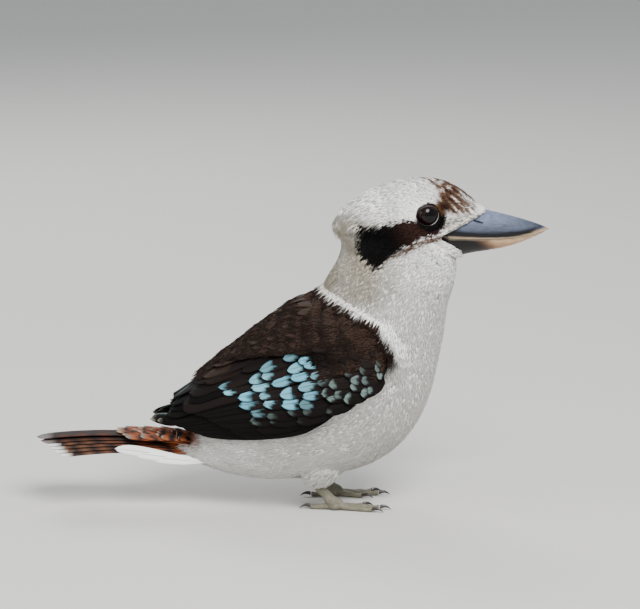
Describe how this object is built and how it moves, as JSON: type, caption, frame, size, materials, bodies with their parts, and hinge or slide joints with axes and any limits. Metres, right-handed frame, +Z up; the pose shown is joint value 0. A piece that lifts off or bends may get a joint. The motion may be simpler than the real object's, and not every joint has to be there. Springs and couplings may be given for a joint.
{
  "type": "laughing kookaburra",
  "caption": "Life-size laughing kookaburra standing on the ground, wings folded, tail level, head turned slightly to its left.",
  "frame": {"origin": "on the floor, under the middle of the bird's bounding box", "axes": "+X the way the body faces, +Y to the bird's left, +Z up"},
  "size_m": [0.332, 0.1044, 0.2136],
  "materials": {
    "white_feathers": "matt white feathers, soft",
    "brown_feathers": "dark brown feathers with pale blue tips on the coverts",
    "rufous_feathers": "rufous feathers barred with black",
    "horn_grey": "satin blue-grey to black horn",
    "horn_tan": "satin tan horn, dark at the base",
    "eye": "wet gloss, dark brown",
    "leg_skin": "dull scaly skin, grey-olive",
    "claw_horn": "satin dark horn"
  },
  "bodies": {
    "root": {"torso": "white_feathers", "neck": "white_feathers", "head": "white_feathers", "bill_upper": "horn_grey", "bill_lower": "horn_tan", "tail": "rufous_feathers", "eye_right": "eye", "wing_right": "brown_feathers", "thigh_right": "white_feathers", "tarsus_right": "leg_skin", "foot_right": "leg_skin", "claw_inner_right": "claw_horn", "claw_middle_right": "claw_horn", "claw_outer_right": "claw_horn", "claw_back_right": "claw_horn", "eye_left": "eye", "wing_left": "brown_feathers", "thigh_left": "white_feathers", "tarsus_left": "leg_skin", "foot_left": "leg_skin", "claw_inner_left": "claw_horn", "claw_middle_left": "claw_horn", "claw_outer_left": "claw_horn", "claw_back_left": "claw_horn"}
  },
  "joints": []
}
